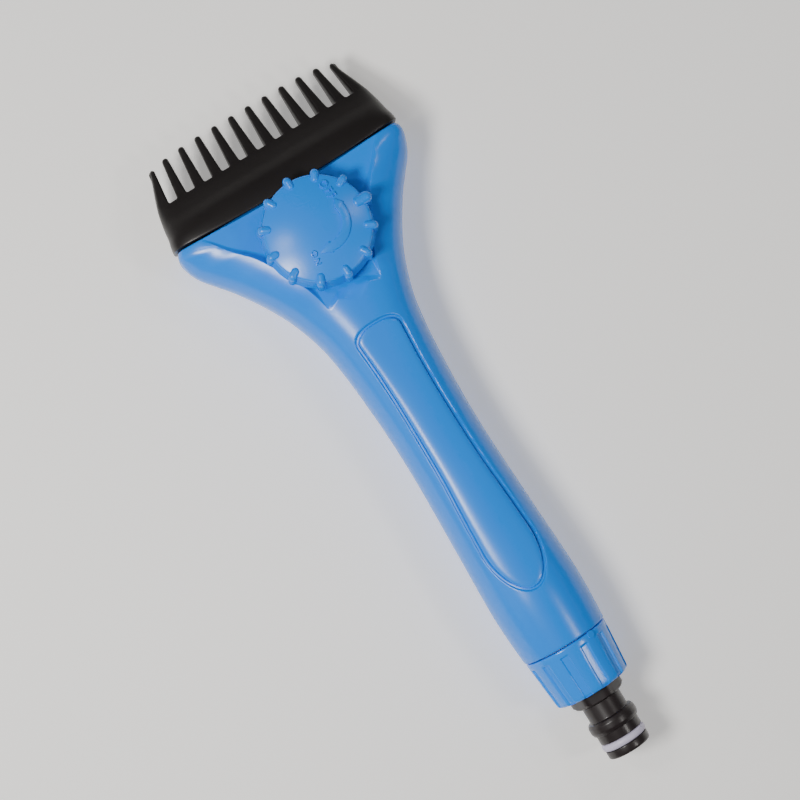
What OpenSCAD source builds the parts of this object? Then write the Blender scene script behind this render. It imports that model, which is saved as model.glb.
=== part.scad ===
// Handheld spray wand with a comb head, a quarter-turn valve and a click-fit hose spigot.
// Origin: centre of the spigot's end face. +Y runs up the handle to the comb, +Z out of the knob side.

/* [Hose spigot] */
// Outside diameter of the two guide lands
land_d = 15.7; // [14.5:0.1:16.1]
// Water bore through the spigot
spigot_bore_d = 9.2; // [8:0.1:9.6]
// Length of the land at the tip
tip_land = 3; // [2.6:0.1:4]
// Width of the sealing ring's groove
ring_groove = 2.9; // [2.7:0.1:3.4]
// Length of the land between the ring and the lock ring
mid_land = 3.2; // [2.5:0.1:4]
// Diameter of the lock ring that a hose connector grips
lock_d = 17.7; // [17:0.1:18.4]
// Length of the lock ring with its bevels
lock_len = 4.7; // [4:0.1:5.5]
// Bevel on each side of the lock ring
lock_bevel = 0.9; // [0.5:0.1:1.2]
// Diameter of the neck behind the lock ring
stalk_d = 14.3; // [13.4:0.1:15]
// Length of the neck behind the lock ring
stalk_len = 5.8; // [5:0.1:9]
// Size across the corners of the wrench seat
seat_d = 19.6; // [18.4:0.1:20]
// Length of the wrench seat, up to the flange
seat_len = 7.5; // [5.6:0.1:9]
// Diameter of the flange that the nut pulls on
flange_d = 22.8; // [22:0.1:23.4]
// Thickness of the flange
flange_t = 3; // [2:0.1:4]
// Cord diameter of the sealing ring
ring_cord = 2.6; // [2.2:0.1:2.6]
// Thickness of the flat washer behind the flange
washer_t = 1.8; // [1.2:0.1:3]

/* [Coupling nut] */
// Length of the nut
nut_len = 18.4; // [16:0.1:22]
// Diameter at the spigot end
nut_low_d = 27.5; // [26.8:0.1:28.5]
// Diameter at the handle end
nut_high_d = 30.7; // [29.6:0.1:32]
// Thickness of the lip behind the flange
nut_lip = 3; // [2:0.1:4]
// Number of finger flutes
flutes = 12; // [8:1:16]
// Width of one flute
flute_w = 3.7; // [2.5:0.1:4.2]
// Depth of one flute
flute_t = 0.6; // [0.3:0.1:0.7]
// Plain band above the flutes
flute_land = 2.8; // [2:0.1:6]
// Outside diameter of the thread on the neck
thread_d = 25.2; // [24.6:0.1:25.4]

/* [Handle] */
// Length from the nut seam to the comb seam
handle_len = 176.9; // [170:0.1:190]
// Wall of the two shells
wall = 2.4; // [2:0.1:2.8]
// Width at the nut
end_w = 31; // [30:0.1:33]
// Width of the swell near the nut
swell_w = 32.7; // [31:0.1:35]
// Distance of the swell from the nut seam
swell_at = 20.7; // [16:0.1:26]
// Width of the waist
waist_w = 29; // [28.4:0.1:32]
// Distance of the waist from the nut seam
waist_at = 76; // [68:0.1:84]
// Width of the throat, where the head begins to flare
throat_w = 35; // [33:0.1:37]
// Distance of the throat from the nut seam
throat_at = 123.2; // [119:0.1:125]
// Depth from the parting line to the lowest point of the back
back_t = 16.4; // [16.4:0.1:18]

/* [Head] */
// Widest part of the head, at the comb seam
head_w = 87.4; // [84:0.1:92]
// Tilt of the deck, valve and comb from the handle
head_tilt = 5; // [4:0.5:6]
// How far the comb seam is bowed at its corners
seam_bow = 1.8; // [1:0.1:3]
// Height of the flat deck above the valve's centre
deck_h = 13; // [12.8:0.1:13.3]
// Distance of the valve's centre from the comb seam
valve_back = 18.7; // [18.5:0.1:19.5]
// Half width of the deck at its rear edge
deck_rear = 10.3; // [9:0.1:11]
// Half width of the deck beside the knob
deck_mid = 19; // [17:0.1:20]
// Half width of the deck at the comb seam
deck_front = 34; // [32:0.1:36]

/* [Grip panel] */
// Distance of the panel's lower end from the nut seam
grip_at = 21.4; // [20:0.1:24]
// Length of the panel
grip_len = 103.4; // [90:0.2:104]
// Width at the upper end
grip_top_w = 17.7; // [16:0.1:18.4]
// Width at the narrowest place
grip_mid_w = 15.6; // [14:0.1:17]
// Width of the lower bulb
grip_low_w = 19.7; // [17:0.1:20.4]
// Thickness of the panel
grip_t = 1.3; // [1:0.1:1.4]

/* [Comb] */
// Number of teeth
teeth = 12; // [10:1:14]
// Distance between teeth at their roots
root_pitch = 6.95; // [6.7:0.05:7.1]
// Distance between teeth at their tips
tip_pitch = 6.65; // [6.4:0.05:6.8]
// Width of the gap at the roots
root_gap = 3.4; // [2.8:0.1:3.6]
// Diameter of a tooth's round tip
tip_d = 2.3; // [2:0.1:2.6]
// Distance from the valve's centre to the bottom of the gaps
root_at = 36.2; // [35:0.1:37.4]
// Distance from the valve's centre to the middle tips
tip_at = 52.2; // [50:0.1:54]
// Thickness of the comb at the seam
comb_rear_t = 27.4; // [27:0.1:27.8]
// Thickness at the bottom of the gaps
comb_root_t = 12.6; // [11.6:0.1:13.6]
// Thickness of the tips
comb_tip_t = 4.4; // [3.6:0.1:5.2]
// Diameter of one spray hole
spray_d = 1.4; // [1:0.1:2]
// Wall of the comb
comb_wall = 2.4; // [2:0.1:2.8]

/* [Valve knob] */
// Diameter of the knob at its upper edge
knob_d = 36.6; // [35:0.1:38]
// Diameter of the knob at its lower edge
knob_low_d = 38; // [36:0.1:39]
// Height of the knob's rim
knob_h = 7.2; // [7:0.1:10]
// Gap between the deck and the knob
knob_gap = 2.9; // [2.7:0.1:3.4]
// Wall of the knob
knob_wall = 2; // [1.6:0.1:2.6]
// Number of grip nubs round the rim
nubs = 12; // [8:1:14]
// Diameter of a grip nub
nub_d = 3; // [2.2:0.1:3.6]
// Diameter of the larger pointer nub
pointer_d = 4.8; // [4:0.1:5.6]

/* [Valve] */
// Diameter of the ball
ball_d = 14; // [13.4:0.1:14.2]
// Bore through the ball
ball_bore = 8.4; // [7.4:0.1:8.6]
// Outside diameter of the valve body
body_d = 20.4; // [19.6:0.1:20.6]
// Diameter of the stem
stem_d = 6; // [5.4:0.1:6.4]

/* [Inlet tube] */
// Outside diameter of the tube inside the handle
tube_d = 12.8; // [12.2:0.1:12.9]
// Bore of the tube
tube_bore = 9.2; // [8.4:0.1:9.4]

/* [Screws] */
// Diameter of a screw's shank
screw_d = 2.2; // [2:0.1:2.4]
// Diameter of a screw's head
screw_head_d = 4.2; // [3.8:0.1:4.4]
// Distance of the handle's screws from its centre line
screw_x = 9.9; // [9.9:0.1:10.2]
// Distance of the head's screws from its centre line
head_screw_x = 28; // [26:0.1:29]

/* [Hidden] */

blue = [0.09, 0.53, 0.86];
black = [0.10, 0.09, 0.09];
white = [0.90, 0.90, 0.87];
grey = [0.69, 0.68, 0.76];
rubber = [0.16, 0.16, 0.17];
steel = [0.72, 0.73, 0.75];

gap = 0.1;          // clearance between faces that meet
fit = 0.05;         // radial running clearance
loose = 0.3;        // clearance between bodies that pass each other
far = 200;          // longer than any cut needs
$fn = 64;

// Stations along the handle
lock_y = tip_land + ring_groove + mid_land;
stalk_y = lock_y + lock_len;
seat_y = stalk_y + stalk_len;
flange_y = seat_y + seat_len;
nut_y = flange_y - gap - nut_lip;
nut_top_y = nut_y + nut_len;
neck_y = flange_y + flange_t + washer_t + gap;
seam_gap = 0.4;
handle_y = nut_top_y + seam_gap;
seam_y = handle_y + handle_len;
seam_r = (pow(head_w / 2, 2) + pow(seam_bow, 2)) / (2 * seam_bow);
valve_y = seam_y - valve_back;
end_wall = 2.5;

// Screws: across and along, in pairs
screw_seat = 6;
screw_bite = 8;
screw_places = [for (p = [[screw_x, handle_y + swell_at + 8], [screw_x, handle_y + waist_at + 22],
                          [head_screw_x, valve_y + 4]], s = [-1, 1]) [s * p[0], p[1]]];

// Neck, tube and valve along the axis
neck_flange_y = handle_y + end_wall + gap;
neck_flange_t = 2.6;
neck_waist_d = 22.8;
neck_flange_d = end_w - 2 * wall - 0.4;
socket_wall = 2.1;
socket_d = tube_d + 2 * gap;
neck_socket_y = neck_flange_y + neck_flange_t;
neck_end_y = neck_socket_y + 13;
valve_socket_y = valve_y - 20;
valve_stop_y = valve_y - 11.2;
tube_y0 = neck_socket_y + gap;
tube_y1 = valve_stop_y - gap;
tube_ring_cord = 1.2;
tube_ring_at = [neck_end_y - 5, valve_socket_y + 4.5];

// Valve, in the head's frame
ball_r = ball_d / 2;
chamber_d = ball_d + 1.2;
chamber_y = ball_r + 1.1;
seat_ring_y = sqrt(pow(ball_r, 2) - pow(ball_bore / 2 + 0.7, 2));
body_front = ball_r + 6.4;
tower_d = 12;
tower_z = deck_h + 0.4;
slot_z = ball_r - 2;
slot_w = 2.3;
stem_flat = 0.8;
stem_cord = 0.9;
stem_rings_z = [ball_r + 2.2, ball_r + 4.4];
knob_z = deck_h + knob_gap;
knob_top = knob_z + knob_h;
knob_crown = 3.2;
knob_round = 1.6;
boss_z = tower_z + 0.5;
boss_d = 10;
stem_top = knob_top - knob_wall - 1;
nub_reach = 2.1;

// Manifold and gasket between the valve and the comb
plenum_inset = 9.2;
plenum_w = head_w - 2 * plenum_inset;
plenum_t = 14.8;
plenum_wall = 1.9;
plenum_y = body_front + 0.2;
gasket_t = 1.1;
gasket_y = valve_back - 0.2;
tongue_len = 3.4;
manifold_ring_y = chamber_y + 2.8;

// Outline of the shells: distance along Y, half width, front height, back depth, squareness
shell_rows = [
    [handle_y, end_w / 2, end_w / 2, end_w / 2, 2],
    [handle_y + swell_at / 2, (end_w + swell_w) / 4 + 0.25, (end_w + swell_w) / 4 + 0.2,
        end_w / 4 + back_t / 2 + 0.2, 2],
    [handle_y + swell_at, swell_w / 2, swell_w / 2, back_t, 2],
    [handle_y + (swell_at + waist_at) / 2, (swell_w + waist_w) / 4 - 0.1, (swell_w + waist_w) / 4 - 0.1,
        back_t / 2 + waist_w / 4, 2.05],
    [handle_y + waist_at, waist_w / 2, waist_w / 2, waist_w / 2 + 0.2, 2.05],
    [handle_y + (waist_at + throat_at) / 2, (waist_w + throat_w) / 4 - 0.85, waist_w / 2 + 0.2,
        waist_w / 2 + 0.7, 2.1],
    [handle_y + throat_at, throat_w / 2, waist_w / 2 + 1.1, back_t - 0.8, 2.15],
    [valve_y - 21, throat_w / 2 + 4.1, deck_h + 3.8, back_t - 0.1, 2.5],
    [valve_y - 11, throat_w / 2 + 9, deck_h + 4.8, back_t + 0.4, 2.5],
    [valve_y - 1, throat_w / 2 + 15.5, deck_h + 4.8, back_t + 0.6, 2.3],
    [valve_y + 4, throat_w / 2 + 19.5, deck_h + 4.8, back_t + 0.6, 2.15],
    [valve_y + 9, head_w / 2 - 2.7, deck_h + 4, back_t + 0.4, 2.25],
    [valve_y + 14, head_w / 2 - 0.4, deck_h + 1.6, back_t - 0.3, 3],
    [seam_y, head_w / 2, deck_h - 0.6, back_t - 1.2, 5],
    [seam_y + 2 * seam_bow, head_w / 2 - 2.4, deck_h - 1, back_t - 1.6, 5]];

// Deck pocket, in the head's frame: distance from the valve's centre along Y, half width
deck_rows = [
    [-24.4, deck_rear], [-17, deck_rear + 1.9], [-11, (deck_rear + deck_mid) / 2], [-6, deck_mid - 1.5],
    [-1, deck_mid], [5, deck_mid + 2], [11, deck_mid + 7], [valve_back, deck_front - 0.5],
    [valve_back + 5, deck_front + 4]];

// Grip panel: distance along Y, half width
grip_y = handle_y + grip_at;
grip_bulb = 17.8;
grip_crest = 5.3;
grip_rows = [
    [grip_y + grip_bulb, grip_low_w / 2], [grip_y + grip_len * 0.31, grip_low_w / 2 - 0.75],
    [grip_y + grip_len * 0.45, (grip_low_w + grip_mid_w) / 4 - 0.65], [grip_y + grip_len * 0.69, grip_mid_w / 2],
    [grip_y + grip_len * 0.83, grip_mid_w / 2 + 0.3], [grip_y + grip_len - grip_crest, grip_top_w / 2]];

// Comb, in the head's frame: distance from the valve's centre, half width, half thickness
comb_rows = [
    [valve_back - 6, head_w / 2 + 0.2, comb_rear_t / 2], [valve_back + 1, head_w / 2 + 0.2, comb_rear_t / 2],
    [valve_back + 7, head_w / 2 - 0.6, comb_rear_t / 2 - 1.5],
    [root_at - 5, head_w / 2 - 1.4, comb_root_t / 2 + 2.6], [root_at, head_w / 2 - 2.5, comb_root_t / 2],
    [root_at + 4, head_w / 2 - 3.8, comb_root_t / 2 - 1.2], [root_at + 8, head_w / 2 - 5.3, comb_tip_t / 2 + 1.8],
    [tip_at - 4, head_w / 2 - 6.8, comb_tip_t / 2 + 0.8], [tip_at + 1, head_w / 2 - 9, comb_tip_t / 2]];
comb_square = 5;
tip_drop = 2.2;
last = (teeth - 1) / 2;

// Grade of column c at row i of a table, and the smooth curve through the table's points
function grade(t, c, i) =
    let (a = max(i - 1, 0), b = min(i + 1, len(t) - 1)) (t[b][c] - t[a][c]) / (t[b][0] - t[a][0]);
function row_of(t, y, i = 0) = i >= len(t) - 2 || y < t[i + 1][0] ? i : row_of(t, y, i + 1);
function along(t, c, y) =
    let (i = row_of(t, y), h = t[i + 1][0] - t[i][0], s = (y - t[i][0]) / h,
         p = t[i][c], q = t[i + 1][c], m = grade(t, c, i) * h, n = grade(t, c, i + 1) * h)
    p + s * (m + s * (3 * (q - p) - 2 * m - n + s * (2 * (p - q) + m + n)));

// Half of a squared oval, from +X over the top to -X
function half_oval(w, h, n, steps) =
    [for (i = [0:steps]) let (c = cos(180 * i / steps), s = max(sin(180 * i / steps), 0))
        [w * sign(c) * pow(abs(c), 2 / n), h * pow(s, 2 / n)]];

// A whole squared oval with its own height in front and at the back
function oval(w, front, back, n, steps) = concat(
    half_oval(w, front, n, steps),
    [for (p = half_oval(w, back, n, steps), q = [[-p[0], -p[1]]]) if (abs(p[1]) > 0.001) q]);

// A closed skin over equal rings of points, each [x, z], at the distances in ys
module loft(ys, rings) {
    m = len(rings[0]);
    last_ring = len(ys) - 1;
    points = [for (i = [0:last_ring], p = rings[i]) [p[0], ys[i], p[1]]];
    faces = concat(
        [[for (j = [m - 1:-1:0]) j]],
        [for (i = [0:last_ring - 1], j = [0:m - 1]) let (a = i * m + j, b = i * m + (j + 1) % m)
            each [[a, b, a + m], [b, b + m, a + m]]],
        [[for (j = [0:m - 1]) last_ring * m + j]]);
    polyhedron(points, faces, convexity = 8);
}

// The shells' outline between two distances, a skin's thickness inside it
module outline(inset, y0, y1, rings = 37, steps = 12) {
    ys = [for (i = [0:rings - 1]) y0 + (y1 - y0) * i / (rings - 1)];
    loft(ys, [for (y = ys) oval(along(shell_rows, 1, y) - inset, along(shell_rows, 2, y) - inset,
                                along(shell_rows, 3, y) - inset, along(shell_rows, 4, y), steps)]);
}

// Frame of the head: the valve's centre, tilted so that the deck falls towards the comb
module head_frame() {
    translate([0, valve_y, 0]) rotate([-head_tilt, 0, 0]) children();
}

// Everything on the comb's side of the bowed seam, g further on
module past_seam(g = 0) {
    translate([0, seam_y + seam_r, -far / 2]) cylinder(r = seam_r - g, h = far, $fn = 180);
}

// One side of a plane across Z at height z
module above(z) {
    translate([-far, -far, z]) cube([2 * far, 3 * far, far]);
}
module below(z) {
    translate([-far, -far, z - far]) cube([2 * far, 3 * far, far]);
}

// Its children as one closed skin
module one_skin() {
    resize([0, 0, 0]) children();
}

// A cylinder along +Y from y0 to y1
module y_rod(d, y0, y1) {
    translate([0, y0, 0]) rotate([-90, 0, 0]) cylinder(d = d, h = y1 - y0);
}

// A shape turned about Y from points of [radius, y]
module y_turned(points) {
    rotate([-90, 0, 0]) rotate_extrude() polygon(points);
}

// A sealing ring about Y, or about Z, of the given cord and outside diameter
module cord_ring(cord, outer_d) {
    rotate_extrude() translate([(outer_d - cord) / 2, 0]) circle(d = cord, $fn = 24);
}
module y_ring(cord, outer_d, y) {
    translate([0, y, 0]) rotate([-90, 0, 0]) cord_ring(cord, outer_d);
}

// The groove that holds a ring of the inner cord at distance y, pressed out to radius r
module ring_groove_cut(y, r) {
    side = tube_ring_cord * 2 / 3;
    y_turned([[r - tube_ring_cord, y - side], [2 * r, y - side], [2 * r, y + side], [r - tube_ring_cord, y + side]]);
}

// Plan of the grip panel, grown by g
module grip_plan(g = 0) {
    y0 = grip_rows[0][0];
    y1 = grip_rows[len(grip_rows) - 1][0];
    side = [for (i = [1:9]) y0 + (y1 - y0) * i / 10];
    offset(delta = g) polygon(concat(
        [for (a = [180:10:360]) [grip_low_w / 2 * cos(a), y0 + grip_bulb * sin(a)]],
        [for (y = side) [along(grip_rows, 1, y), y]],
        [for (p = half_oval(grip_top_w / 2, grip_crest, 2.5, 14)) [p[0], y1 + p[1]]],
        [for (i = [8:-1:0]) [-along(grip_rows, 1, side[i]), side[i]]]));
}

// The deck's pocket above its floor
module deck_pocket() {
    ys = [for (y = [-24.4:2:valve_back + 5]) y];
    head_frame() translate([0, 0, deck_h]) linear_extrude(far) polygon(concat(
        [for (y = ys) [along(deck_rows, 1, y), y]],
        [for (i = [len(ys) - 1:-1:0]) [-along(deck_rows, 1, ys[i]), ys[i]]],
        [for (i = [-3:3]) [deck_rear * i / 4, -21.4 - 3 * pow(i / 4, 2)]]));
}

// Hollow inside the shells, kept a wall under the deck, or a shape that lies g inside it
module shell_hollow(g = 0) {
    difference() {
        outline(wall + g, handle_y + end_wall, seam_y + 2 * seam_bow, 17, 8);
        head_frame() above(deck_h - wall - g);
    }
}

module neck_hole() {
    y_rod(neck_waist_d + 2 * gap, handle_y - 1, handle_y + end_wall + 1);
}

module at_screws() {
    for (p = screw_places) translate([p[0], p[1], 0]) children();
}

module front_shell() {
    color(blue) one_skin() difference() {
        union() {
            difference() {
                outline(0, handle_y, seam_y + seam_bow);
                shell_hollow();
            }
            intersection() {
                outline(wall / 2, handle_y, seam_y);
                at_screws() translate([0, 0, -1]) cylinder(d = screw_head_d + 1.4, h = far, $fn = 16);
            }
        }
        below(0);
        past_seam();
        deck_pocket();
        difference() {
            translate([0, 0, 1]) linear_extrude(far) grip_plan(0.2);
            outline(grip_t + gap, handle_y, valve_y);
        }
        neck_hole();
        head_frame() cylinder(d = tower_d + 0.4, h = far, $fn = 36);
        translate([0, 0, -1]) at_screws() cylinder(d = screw_d + gap, h = screw_bite + 1.5, $fn = 16);
    }
}

module rear_shell() {
    color(blue) one_skin() difference() {
        union() {
            difference() {
                outline(0, handle_y, seam_y + seam_bow);
                shell_hollow();
            }
            intersection() {
                outline(wall / 2, handle_y, seam_y);
                at_screws() translate([0, 0, 1 - far]) cylinder(d = screw_head_d + 2.4, h = far, $fn = 16);
            }
        }
        above(0);
        below(-back_t);
        past_seam();
        neck_hole();
        at_screws() {
            translate([0, 0, -far - screw_seat]) cylinder(d = screw_head_d + 0.4, h = far, $fn = 16);
            translate([0, 0, -far / 2]) cylinder(d = screw_d + 0.3, h = far, $fn = 16);
        }
    }
}

module grip_inlay() {
    color(blue) one_skin() difference() {
        intersection() {
            outline(-0.2, handle_y, valve_y);
            translate([0, 0, 1]) linear_extrude(far) grip_plan();
        }
        outline(grip_t, handle_y, valve_y);
    }
}

// A flat block across Y from y0 to y1, w wide and t thick
module plate(y0, y1, w, t) {
    translate([-w / 2, y0, -t / 2]) cube([w, y1 - y0, t]);
}

// Plan of one tooth: k counts from the middle; the end teeth reach out to the comb's side
module tooth(k) {
    root_x = root_pitch * k;
    tip_x = tip_pitch * k;
    half = (root_pitch - root_gap) / 2;
    r = tip_d / 2;
    tip_y = tip_at - tip_drop * pow(abs(k) / last, 3.5) - r;
    left = k == -last ? root_x - half - 5 : root_x - half;
    right = k == last ? root_x + half + 5 : root_x + half;
    polygon(concat(
        [[left - 0.5, root_at - 1], [left - 0.5, root_at], [left, root_at + 0.7]],
        [for (a = [180:-30:0]) [tip_x + r * cos(a), tip_y + r * sin(a)]],
        [[right, root_at + 0.7], [right + 0.5, root_at], [right + 0.5, root_at - 1]]));
}

module comb_head() {
    ys = [for (i = [0:15]) comb_rows[0][0] + (tip_at + 0.5 - comb_rows[0][0]) * i / 15];
    cavity_w = plenum_w - 2 * plenum_wall;
    cavity_t = plenum_t - 2 * plenum_wall;
    cavity_end = root_at - comb_wall;
    taper_y = gasket_y + gasket_t + 0.6;
    color(black) one_skin() difference() {
        union() {
            intersection() {
                past_seam(gap * 5);
                head_frame() intersection() {
                    loft(ys, [for (y = ys) oval(along(comb_rows, 1, y), along(comb_rows, 2, y),
                                                along(comb_rows, 2, y), comb_square, 12)]);
                    translate([0, 0, -far / 2]) linear_extrude(far) {
                        translate([-head_w, 0]) square([2 * head_w, root_at]);
                        for (k = [-last:last]) tooth(k);
                    }
                }
            }
            intersection() {
                shell_hollow(2 * gap);
                translate([-far, seam_y - tongue_len, -far / 2]) cube([2 * far, tongue_len + seam_bow + 1.5, far]);
            }
        }
        head_frame() {
            plate(0, gasket_y + gasket_t, plenum_w + 0.6, plenum_t + 0.6);
            rotate([90, 0, 90]) translate([0, 0, -cavity_w / 2]) linear_extrude(cavity_w) polygon([
                [0, -cavity_t / 2], [taper_y, -cavity_t / 2],
                [cavity_end, comb_wall - comb_root_t / 2], [cavity_end, comb_root_t / 2 - comb_wall],
                [taper_y, cavity_t / 2], [0, cavity_t / 2]]);
            plate(cavity_end - 5, cavity_end - 0.4, 2 * (root_pitch * (last - 0.5) + spray_d), 4);
            for (k = [0.5 - last:last - 0.5]) translate([root_pitch * k, root_at - comb_wall - 2, 0])
                rotate([-90, 0, 0]) cylinder(d = spray_d, h = comb_wall + 4, $fn = 12);
        }
    }
}

module comb_gasket() {
    color(rubber) head_frame() difference() {
        plate(gasket_y, gasket_y + gasket_t, plenum_w, plenum_t);
        plate(0, far, plenum_w - 2 * plenum_wall, plenum_t - 2 * plenum_wall);
    }
}

module spray_manifold() {
    color(white) head_frame() difference() {
        union() {
            plate(plenum_y, gasket_y, plenum_w, plenum_t);
            y_rod(chamber_d - 2 * gap, chamber_y, plenum_y + 0.5);
        }
        plate(plenum_y + plenum_wall, far, plenum_w - 2 * plenum_wall, plenum_t - 2 * plenum_wall);
        y_rod(tube_bore, 0, plenum_y + plenum_wall + 1);
        ring_groove_cut(manifold_ring_y, chamber_d / 2);
    }
}

module manifold_o_ring() {
    color(rubber) head_frame() y_ring(tube_ring_cord, chamber_d, manifold_ring_y);
}

module valve_body() {
    color(white) difference() {
        union() {
            head_frame() {
                y_rod(body_d, -chamber_y - 1.6, body_front);
                cylinder(d = tower_d, h = tower_z);
            }
            y_rod(socket_d + 2 * socket_wall, valve_socket_y, valve_y - ball_r);
        }
        y_rod(socket_d, valve_socket_y - 1, valve_stop_y);
        head_frame() {
            y_rod(chamber_d, -chamber_y, far);
            y_rod(tube_bore, valve_stop_y - valve_y - 1, 0);
            cylinder(d = stem_d + 2 * fit, h = far);
        }
    }
}

module ball_seats() {
    color(white) head_frame() difference() {
        for (s = [0, 180]) rotate([0, 0, s]) difference() {
            y_rod(chamber_d - gap, seat_ring_y, chamber_y - fit);
            y_rod(ball_bore + 2 * gap, 0, far);
        }
        sphere(r = ball_r + fit);
    }
}

module threaded_neck() {
    color(white) y_turned([
        [spigot_bore_d / 2, neck_y], [thread_d / 2 - 0.8, neck_y], [thread_d / 2, neck_y + 0.8],
        [thread_d / 2, nut_top_y - 1.4], [neck_waist_d / 2, nut_top_y - 0.6],
        [neck_waist_d / 2, neck_flange_y], [neck_flange_d / 2, neck_flange_y],
        [neck_flange_d / 2, neck_socket_y], [socket_d / 2 + socket_wall, neck_socket_y],
        [socket_d / 2 + socket_wall, neck_end_y], [socket_d / 2, neck_end_y],
        [socket_d / 2, neck_socket_y], [spigot_bore_d / 2, neck_socket_y]]);
}

module inlet_tube() {
    color(white) difference() {
        y_rod(tube_d, tube_y0, tube_y1);
        y_rod(tube_bore, tube_y0 - 1, tube_y1 + 1);
        for (y = tube_ring_at) ring_groove_cut(y, socket_d / 2);
    }
}

module tube_o_rings() {
    color(rubber) for (y = tube_ring_at) y_ring(tube_ring_cord, socket_d, y);
}

module shell_screws() {
    color(steel) at_screws() {
        translate([0, 0, -screw_seat - 1.5]) cylinder(d = screw_head_d, h = 1.5);
        translate([0, 0, -screw_seat - 0.5]) cylinder(d = screw_d, h = screw_seat + screw_bite);
    }
}

// One grip nub of radius r, a post with a round top
module nub(r) {
    rotate_extrude($fn = 32) polygon(concat(
        [[0, knob_z + 0.2], [r, knob_z + 0.2]],
        [for (a = [0:18:90]) [r * cos(a), knob_top + 0.5 - r * (1 - sin(a))]]));
}

module knob() {
    color(blue) head_frame() difference() {
        union() {
            difference() {
                rotate_extrude() polygon(concat(
                    [[0, knob_z], [knob_low_d / 2, knob_z]],
                    [for (a = [0:30:90]) [knob_d / 2 - knob_round * (1 - cos(a)), knob_top - knob_round * (1 - sin(a))]],
                    [for (i = [4:-1:0]) let (r = (knob_d / 2 - knob_round) * i / 5)
                        [r, knob_top + knob_crown * (1 - pow(2 * r / knob_d, 2))]]));
                translate([0, 0, knob_z - 1]) cylinder(r1 = knob_low_d / 2 - knob_wall, r2 = knob_d / 2 - knob_wall,
                                                       h = knob_h - knob_wall + 1);
            }
            for (k = [0:nubs - 1]) rotate([0, 0, 360 * k / nubs]) {
                d = k == 0 ? pointer_d : nub_d;
                translate([knob_d / 2 + nub_reach - d / 2, 0, 0]) nub(d / 2);
            }
            translate([0, 0, boss_z]) cylinder(d = boss_d, h = knob_top - boss_z - 0.5);
            for (a = [0, 90]) rotate([0, 0, a])
                translate([-knob_d / 2 + 1, -0.8, knob_z + 1]) cube([knob_d - 2, 1.6, knob_h - 1.5]);
        }
        difference() {
            cylinder(d = stem_d + 2 * fit, h = stem_top + 0.2);
            translate([stem_d / 2 - stem_flat + fit, -far / 2, 0]) cube(far);
        }
    }
}

module valve_stem() {
    color(steel) head_frame() difference() {
        union() {
            translate([0, 0, ball_r + fit]) cylinder(d = stem_d, h = stem_top - ball_r - fit);
            intersection() {
                cylinder(d = stem_d, h = ball_r + 1);
                translate([-stem_d / 2, -slot_w / 2 + fit, slot_z + fit])
                    cube([stem_d, slot_w - 2 * fit, ball_r - slot_z]);
            }
        }
        translate([stem_d / 2 - stem_flat, -far / 2, boss_z]) cube(far);
        for (z = stem_rings_z) translate([0, 0, z - 0.6]) difference() {
            cylinder(d = stem_d + 1, h = 1.2);
            translate([0, 0, -1]) cylinder(d = stem_d + 2 * fit - 2 * stem_cord, h = 3);
        }
    }
}

module stem_o_rings() {
    color(rubber) head_frame() for (z = stem_rings_z) translate([0, 0, z])
        cord_ring(stem_cord, stem_d + 2 * fit);
}

module valve_ball() {
    color(steel) head_frame() difference() {
        sphere(r = ball_r);
        rotate([0, 0, 90]) y_rod(ball_bore, -far, far);
        translate([-far / 2, -slot_w / 2, slot_z]) cube([far, slot_w, far]);
    }
}

module hose_spigot() {
    land_r = land_d / 2;
    groove_r = land_r + 0.45 - ring_cord;
    bore_r = spigot_bore_d / 2;
    color(black) difference() {
        union() {
            y_turned([
                [0, 0], [land_r - 0.8, 0], [land_r, 0.8], [land_r, tip_land], [groove_r, tip_land],
                [groove_r, tip_land + ring_groove], [land_r, tip_land + ring_groove], [land_r, lock_y],
                [lock_d / 2, lock_y + lock_bevel], [lock_d / 2, stalk_y - lock_bevel],
                [stalk_d / 2, stalk_y], [stalk_d / 2, flange_y], [flange_d / 2, flange_y],
                [flange_d / 2, flange_y + flange_t], [0, flange_y + flange_t]]);
            intersection() {
                translate([0, seat_y, 0]) rotate([-90, -9, 0]) cylinder(d = seat_d, h = seat_len, $fn = 6);
                y_turned([[0, seat_y - 1], [seat_d / 2 - 2.6, seat_y - 1], [seat_d / 2 + 2, seat_y + 2.5],
                          [seat_d / 2 + 2, flange_y + 1], [0, flange_y + 1]]);
            }
        }
        y_rod(spigot_bore_d, -1, flange_y + flange_t + 1);
    }
}

module spigot_o_ring() {
    color(grey) y_ring(ring_cord, land_d + 0.9, tip_land + ring_groove / 2);
}

module hose_washer() {
    washer_y = flange_y + flange_t;
    color(rubber) difference() {
        y_rod(flange_d - 0.4, washer_y, washer_y + washer_t);
        y_rod(spigot_bore_d + 1, washer_y - 1, washer_y + washer_t + 1);
    }
}

module coupling_nut() {
    low_r = nut_low_d / 2;
    high_r = nut_high_d / 2;
    slope = atan((high_r - low_r) / nut_len);
    lip_r = seat_d / 2 + loose;
    flange_r = flange_d / 2 + loose;
    thread_r = thread_d / 2 + loose;
    color(blue) difference() {
        y_turned([
            [lip_r, nut_y], [low_r - 2.1, nut_y], [low_r - 0.8, nut_y + 0.6], [low_r, nut_y + 2],
            [high_r - 0.1, nut_top_y - 0.6], [high_r - 0.6, nut_top_y], [thread_r, nut_top_y],
            [thread_r, neck_y - 0.6], [flange_r, neck_y - 1.8], [flange_r, nut_y + nut_lip],
            [lip_r, nut_y + nut_lip]]);
        for (k = [0:flutes - 1]) rotate([0, 360 * (k + 0.55) / flutes, 0])
            translate([-flute_w / 2, nut_top_y - flute_land, high_r - flute_t - flute_land * tan(slope)])
            rotate([slope, 0, 0]) translate([0, -nut_len, 0]) cube([flute_w, nut_len, high_r]);
    }
}

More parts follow.
